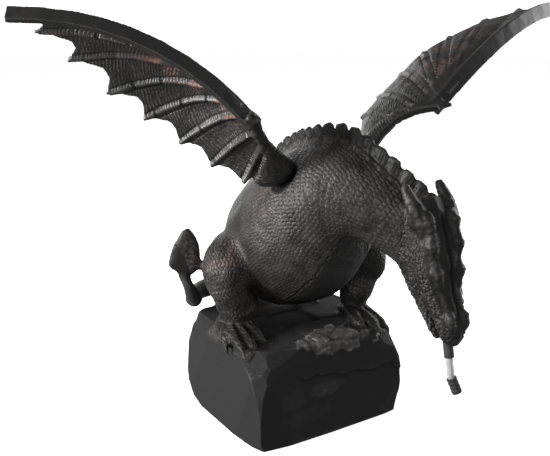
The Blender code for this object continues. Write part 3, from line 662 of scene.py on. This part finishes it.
# two seams down the belly with fine lines between them, beads and lines along the crest
crack = alongBelly * ridge((under - bellyHalf) * 55 + lumps(figure, 5) * 1.6, 0.8) * skinShare
relief -= crack * depths["bellySeam"]
relief += inBelly * np.sin(bodyRun * 3.1) * depths["bellyLine"]
beadLine = onBody * ridge(ridgeSide - 8.5, 1.3) * step(bodyRun, 30, 60)
bead = beadLine * np.abs(np.sin(bodyRun * 0.9)) * skinShare
relief += bead * depths["bead"]
crestLines = np.sin(bodyRun * 2.6 + lumps(figure, 6) * 3) * depths["crestLine"]
relief += onCrest * (crestLines + lumps(figure, 4, 7) * depths["crestLump"])

# head: pebbled cheeks, a groove down the middle, rings across the muzzle, brows and horns
cheek = onHead * (1 - step(headLift, 6, 10)) * step(np.abs(headSide), 3, 7)
muzzle = onHead * step(headLift, 3, 7) * (1 - step(np.abs(headSide), 8, 10)) * step(headRun, -6, 4)
relief += cheek * (pebbles(figure + 40, 3.2) - 0.4) * depths["cheek"]
groove = muzzle * ridge(headSide - 0.6 + lumps(figure, 12), 1.9) * (1 - step(headRun, 72, 84))
relief -= groove * depths["groove"]
relief += muzzle * (1 - groove) * np.sin(headRun * 1.95 + lumps(figure, 8) * 2.6) * depths["muzzleRing"]
brow = onHead * step(headLift, 8, 13) * step(np.abs(headSide), 7, 10)
browLines = np.sin(headRun * 1.5 + lumps(figure, 7) * 5) * depths["browLine"]
browLumps = lumps(figure, 4, 4) * depths["browLump"] + lumps(figure, 2, 1) * depths["browGrain"]
relief += brow * (browLines + browLumps)
mouthLine = -9.5 + 0.05 * (headRun - 60)
gape = onHead * ridge(headLift - mouthLine, 1.8) * step(headRun, 50, 70)
relief -= gape * depths["mouth"]

# toes, soft folds, the stone round the feet and the seats of the wings
toeLines = np.sin(figure[:, 1] * 1.7 + lumps(figure, 8) * 2) * depths["toeLine"]
relief += onToes * (toeLines + (pebbles(figure, 3.2) - 0.5) * depths["toePebble"])
folds = lumps(figure, 16, 3.3) * depths["fold"] + lumps(figure, 8, 8.1) * depths["smallFold"]
relief = (relief + folds * (1 - onRock)) * (1 - onRock) - seat * depths["wingSeat"]
stoneSpots, outcrop, crease = stoneShape(spots, normals)
moved(dragon.data, spots + normals * (relief * unit)[:, None] + (stoneSpots - spots) * onRock[:, None])
print("dragon relief", round(float(relief.min()), 2), round(float(relief.max()), 2))

# what the paint reads: scale rows, kinds of surface, rubbed edges with a painted highlight, and painted shade
# in hollows and crevices
layer(dragon.data, "row", row)
layer(dragon.data, "column", column)
paint(dragon.data, "scaly", scaly * 0.8)
paint(dragon.data, "pebbly", cheek + onToes * 0.5)
paint(dragon.data, "stone", onRock)
lift = standing(dragon.data, 16)
# hollow: where the skin lies low, which gets painted shade
proud, hollow = step(lift, 0.1, 0.9), step(-lift, 0.15, 1.0)
print("dragon hollows", round(float(np.percentile(lift, 2)), 2), round(float(np.percentile(lift, 98)), 2))
# standing corners lighter: rubbed wear and a painted highlight; on the rock a paler outcrop and a painted
# highlight on standing edges
skinWearAndHighlight = proud * 0.6 + brow * 0.15 + muzzle * 0.1
paint(dragon.data, "wearAndHighlight", skinWearAndHighlight * (1 - onRock) + onRock * (outcrop * 0.95 + proud * 0.35))
besideGroove = muzzle * ridge(headSide - 0.5, 4.5) * (1 - step(headRun, 60, 80))
# painted shade in the belly seams, the muzzle groove and beside it, the mouth, the wing seats and the hollows
paintedSkinShade = crack * 0.8 + groove * 0.6 + besideGroove * 0.6 + gape * 0.9 + seat + hollow * (1 - onRock) * 0.75
# painted shade on the rock top under the belly, and in the ledge's crease
beneath = ridge(figure[:, 0], 52) * step(figure[:, 1], -52, -30) * (1 - outcrop)
paint(dragon.data, "shade", paintedSkinShade + onRock * (crease * 0.6 + beneath * 0.5))
bronze = onBody * ridge(ridgeSide - 14, 12) * ridge(bodyRun - 120, 45) * 0.25
for middle, size, strong in bronzeSpots.values():
    bronze += spotOn(figure, middle, size) * strong
paint(dragon.data, "bronze", bronze)


def piecesOf(thing, names, sorter):
    """The mesh shared out by face, with the whole mesh's normals kept on every share"""
    mesh = thing.data
    facing = cornersOf(mesh)[1]
    centres = np.empty(len(mesh.polygons) * 3)
    mesh.polygons.foreach_get("center", centres)
    group = sorter(centres.reshape(-1, 3))
    made = []
    for number, name in enumerate(names):
        own, others = np.nonzero(group == number)[0], np.nonzero(group != number)[0]
        bm = bmesh.new()
        bm.from_mesh(mesh)
        bm.faces.ensure_lookup_table()
        bmesh.ops.delete(bm, geom=[bm.faces[int(i)] for i in others], context="FACES")
        share = toObject(bm, name)
        kept = np.unique(np.concatenate([np.array(mesh.polygons[int(i)].vertices) for i in own]))
        share.data.normals_split_custom_set_from_vertices(facing[kept])
        made.append(share)
    bpy.data.objects.remove(thing)
    return made


# the casting's pieces in the order that sortDragon numbers them; what is under the seam is left out
dragonPieces = ("dragon_back", "dragon_head", "dragon_leg_right", "dragon_leg_left")
headFrom, legsUnder = -96, 62


def sortDragon(centres):
    place = centres / unit - np.array([0, 0, rockHeight])
    group = np.zeros(len(centres), int)
    group[place[:, 1] < headFrom] = 1
    low = (place[:, 1] >= headFrom) & (place[:, 2] < legsUnder)
    group[low] = 2
    group[low & (place[:, 0] > 0)] = 3
    group[centres[:, 2] < seam - 0.0005] = len(dragonPieces)
    return group


def sortRock(centres):
    return (centres[:, 2] > seam).astype(int)


def placed(piece, finish, node):
    piece.data.materials.clear()
    piece.data.materials.append(finish)
    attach(piece, "root")
    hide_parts(node)
    print(piece.name, sum(len(face.vertices) - 2 for face in piece.data.polygons))


casting = castingFinish()
for piece in piecesOf(dragon, dragonPieces, sortDragon):
    placed(piece, casting, "dragon_on_rock")

# the rock under the seam, its skin carried a little past the seam and cut back there
rockSkin = {"grain": 0.0013, "quickGrain": 0.002, "smoothing": 6}
bm = sliced(copyOf("dragon_on_rock"), seam + lap, False)
stoneBlock = remeshed(toObject(bm, "stone_block"), grainOf(rockSkin), rockSkin["smoothing"])
spots, normals = cornersOf(stoneBlock.data)
spots, outcrop, crease = stoneShape(spots, normals)
moved(stoneBlock.data, spots)
for name, value in (("stone", 1.0), ("scaly", 0.0), ("pebbly", 0.0), ("bronze", 0.0)):
    paint(stoneBlock.data, name, np.full(len(spots), value))
# painted shade in the ledge's crease
paint(stoneBlock.data, "shade", crease * 0.6)
# a paler outcrop, and a painted highlight on the standing edges
paint(stoneBlock.data, "wearAndHighlight", outcrop * 0.95 + step(standing(stoneBlock.data, 10), 0.1, 0.8) * 0.35)
for piece in piecesOf(stoneBlock, ("rock",), sortRock):
    placed(piece, casting, "dragon_on_rock")

# the wings: even skin, rounded ribs with their joints, wrinkles across the webs
# each rib: its end from the wrist, along the wing, across it and through it, and its bow in the last two
wingSkin = {
    "grain": 0.00080, "quickGrain": 0.0013, "smoothing": 3,
    "span": 193, "bandStart": 4, "bandDrop": 6, "bandBow": 16, "bandHalf": 6.6,
    "ribs": [
        ((177, 17, 13), (-17, 10)),
        ((150, 37, 19), (-14, 16)),
        ((116, 59, 21), (-11, 18)),
        ((82, 69, 20), (-5, 20)),
        ((48, 77, 17), (-1, 15)),
        ((17, 83, 13), (0, 7)),
        ((-13, 81, 8), (5, 5)),
    ],
    "wristRibs": 5, "jointPitch": 24, "jointShift": 9, "wrinkles": 2.35,
}
wings = {
    "wing_right": {
        "root": (-37, -52, 153), "elbow": (-66, -55, 176), "wrist": (-91, -87.5, 203.5),
        "outward": (-0.770, 0.513, 0.379), "trailing": (0.075, 0.663, -0.745), "bronze": 1.0,
    },
    "wing_left": {
        "root": (37, -52, 153), "elbow": (60, -56, 199), "wrist": (96, -85, 201),
        "outward": (0.893, 0.197, 0.405), "trailing": (-0.098, 0.963, -0.252), "bronze": 0.3,
    },
}


def wingAxes(wing):
    outward = np.array(wing["outward"])
    outward /= np.linalg.norm(outward)
    trailing = np.array(wing["trailing"])
    trailing -= outward * (trailing @ outward)
    trailing /= np.linalg.norm(trailing)
    back = np.cross(outward, trailing)
    return outward, trailing, back if back[2] > 0 else -back


def bowedLine(start, end, bow):
    share = np.linspace(0, 1, 60)[:, None]
    start, end = np.array(start, float), np.array(end, float)
    return start + (end - start) * share + np.array([0, bow[0], bow[1]]) * 4 * share * (1 - share)


def ribsBy(local, wrist, elbow, root):
    """How far each corner is from the nearest rib, and how far along that rib"""
    near = np.full(len(local), 99.0)
    length = np.zeros(len(local))
    for number, (end, bow) in enumerate(wingSkin["ribs"]):
        arm = 0.22 * max(0, number + 1 - wingSkin["wristRibs"])
        start = wrist * (1 - arm) ** 2 + elbow * 2 * arm * (1 - arm) + root * arm ** 2
        line = bowedLine(start, end, bow)
        run = np.concatenate([[0], np.cumsum(np.linalg.norm(np.diff(line, axis=0), axis=1))])
        run += number * wingSkin["jointShift"]
        for k in range(0, len(local), 20000):
            part = slice(k, k + 20000)
            gaps = np.linalg.norm(local[part, None, :2] - line[None, :, :2], axis=2)
            best = gaps.argmin(1)
            gap = gaps[np.arange(len(best)), best]
            nearer = gap < near[part]
            near[part][nearer] = gap[nearer]
            length[part][nearer] = run[best][nearer]
    return near, length


webPaint = webFinish()
for node, wing in wings.items():
    thing = toObject(copyOf(node), node + "_skin")
    thing = remeshed(thing, grainOf(wingSkin), wingSkin["smoothing"])
    spots, normals = cornersOf(thing.data)
    axes = wingAxes(wing)
    figure = spots / unit - np.array([0, 0, rockHeight])
    fromWrist = np.array(wing["wrist"])
    local = np.stack([(figure - fromWrist) @ axis for axis in axes], 1)
    wrist, elbow, root = (
        np.array([(np.array(wing[key]) - fromWrist) @ axis for axis in axes])
        for key in ("wrist", "elbow", "root")
    )
    near, length = ribsBy(local, wrist, elbow, root)

    # the leading band, and the webs behind it
    share = np.clip(local[:, 0] / wingSkin["span"], 0, 1)
    bow = wingSkin["bandBow"] * 4 * share * (1 - share)
    fromBand = local[:, 1] - (wingSkin["bandStart"] - wingSkin["bandDrop"] * share - bow)
    inWeb = step(fromBand, 7.5, 10) * step(np.linalg.norm(local, axis=1), 8, 16)

    # ribs with grooves beside them and notched joints
    rib = inWeb * ridge(near, 2.3)
    pitch = wingSkin["jointPitch"]
    joint = ridge(length % pitch - pitch / 2, 0.8) * inWeb * ridge(near, 3.2)
    beside = inWeb * ridge(near - 4.0, 0.9)
    relief = rib * 0.75 - joint * 1.3 - beside * 0.5

    # wrinkles across the webs, lines on the band's edge and along the arm, soft lumps all over
    far = np.hypot(local[:, 0], local[:, 1])
    relief += inWeb * (1 - rib) * np.sin(far * wingSkin["wrinkles"] + lumps(local, 14) * 3) * 0.12
    atEdge = fromBand + wingSkin["bandHalf"]
    relief += ridge(atEdge, 1.2) * np.sin(local[:, 0] * 2.1) * 0.22 * step(local[:, 0], 4, 20)
    armWay = (root - wrist) / np.linalg.norm(root - wrist)
    onArm = (1 - inWeb) * step(local @ armWay, 8, 16)
    acrossArm = local @ np.cross(armWay, (0, 0, 1))
    relief += onArm * np.sin(acrossArm + lumps(local, 16) * 3) * 0.28
    relief += lumps(local, 20, 5) * 0.3 + lumps(local, 6, 2) * 0.12
    moved(thing.data, spots + normals * (relief * unit - 0.0001)[:, None])

    # what the paint reads
    atRoot = np.linalg.norm(figure - np.array(wing["root"]), axis=1)
    lift = standing(thing.data, 14)
    paint(thing.data, "web", inWeb * (1 - rib))
    # ribs and the band's edge, and a painted highlight on the standing parts of the wing
    paint(thing.data, "rib", rib + 0.25 * ridge(atEdge, 1.5) + step(lift, 0.1, 0.7) * 0.5)
    paint(thing.data, "notch", joint + beside)
    layer(thing.data, "far", far + lumps(local, 14) * 1.2)
    alongTint = step(local[:, 0], 2, 18) * (1 - step(local[:, 0], 84, 104))
    tint = alongTint * step(fromBand, 7, 11) * (1 - step(fromBand, 26, 42))
    paint(thing.data, "bronze", tint * wing["bronze"])
    # painted shade in the rib joints, beside the ribs, in hollows and round the wing's root
    paintedWebShade = joint * 0.7 + beside * 0.5 + step(-lift, 0.12, 0.8) * 0.7
    paint(thing.data, "shade", paintedWebShade + (1 - step(atRoot, 14, 18)) * 0.5)
    placed(thing, webPaint, node)

# the spout keeps its CAD pieces
tubeFinish, sleeveFinish = hoseFinish(), rubberFinish()
for node, finish in (("spout_hose", tubeFinish), ("spout_sleeve", sleeveFinish), ("spout_tip", sleeveFinish)):
    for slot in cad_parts[node].material_slots:
        slot.material = finish

# a pale floor inside a white sphere, which the object neither mirrors nor is lit by
stage = {"floor": 6, "backdrop": 5.5, "floorGlow": 0.62, "backdropGlow": 1.0, "sky": 0.38}
white = (1, 1, 1, 1)
bm = bmesh.new()
bmesh.ops.create_grid(bm, x_segments=1, y_segments=1, size=stage["floor"])
floor = toObject(bm, "floor")
floorPaint, floorShader, floorPlace = newMaterial(
    "floor_paint", Roughness=0.9, Emission_Color=white, Emission_Strength=stage["floorGlow"],
)
plug(cloud(floorPlace, 3).mixed((0.93, 0.93, 0.93, 1), (0.95, 0.95, 0.95, 1)), floorShader, "Base Color")
bm = bmesh.new()
bmesh.ops.create_uvsphere(bm, u_segments=48, v_segments=24, radius=stage["backdrop"])
backdrop = toObject(bm, "backdrop")
backdropPaint = newMaterial(
    "backdrop_paint", Base_Color=white, Emission_Color=white, Emission_Strength=stage["backdropGlow"],
)[0]
for thing, finish in ((floor, floorPaint), (backdrop, backdropPaint)):
    thing.data.materials.append(finish)
    thing.visible_diffuse = False
    thing.visible_glossy = False
backdrop.visible_shadow = False

world = bpy.data.worlds.new("studio")
bpy.context.scene.world = world
world.use_nodes = True
world.node_tree.nodes["Background"].inputs["Color"].default_value = white
world.node_tree.nodes["Background"].inputs["Strength"].default_value = stage["sky"]
bpy.context.scene.view_settings.view_transform = "Standard"

# soft lamps in metres and watts, all aimed at the middle of the figure
lampAim = Vector((0, -0.05, 0.2))
lamps = {
    "key": {"place": (-1.4, 0.32, 0.55), "size": 0.6, "power": 58},
    "front": {"place": (-0.9, -1.3, 0.7), "size": 0.9, "power": 9},
    "right": {"place": (1.5, 0.05, 0.4), "size": 1.2, "power": 22},
    "back": {"place": (0.2, 1.7, 0.6), "size": 1.2, "power": 14},
}
for name, lamp in lamps.items():
    light = bpy.data.lights.new(name, "AREA")
    light.size = lamp["size"]
    light.energy = lamp["power"]
    thing = bpy.data.objects.new(name, light)
    thing.location = lamp["place"]
    thing.rotation_euler = (lampAim - Vector(lamp["place"])).to_track_quat("-Z", "Y").to_euler()
    bpy.context.scene.collection.objects.link(thing)

# the photo's view: in front, to the figure's right and a little above, angles in degrees
view = {"place": (-0.399, -0.611, 0.375), "tilt": 74.6, "turn": -32, "lens": 53.8, "film": 36}
lens = bpy.data.cameras.new("camera")
lens.sensor_width = view["film"]
lens.lens = view["lens"]
camera = bpy.data.objects.new("camera", lens)
camera.location = view["place"]
camera.rotation_euler = (math.radians(view["tilt"]), 0, math.radians(view["turn"]))
bpy.context.scene.collection.objects.link(camera)
bpy.context.scene.camera = camera
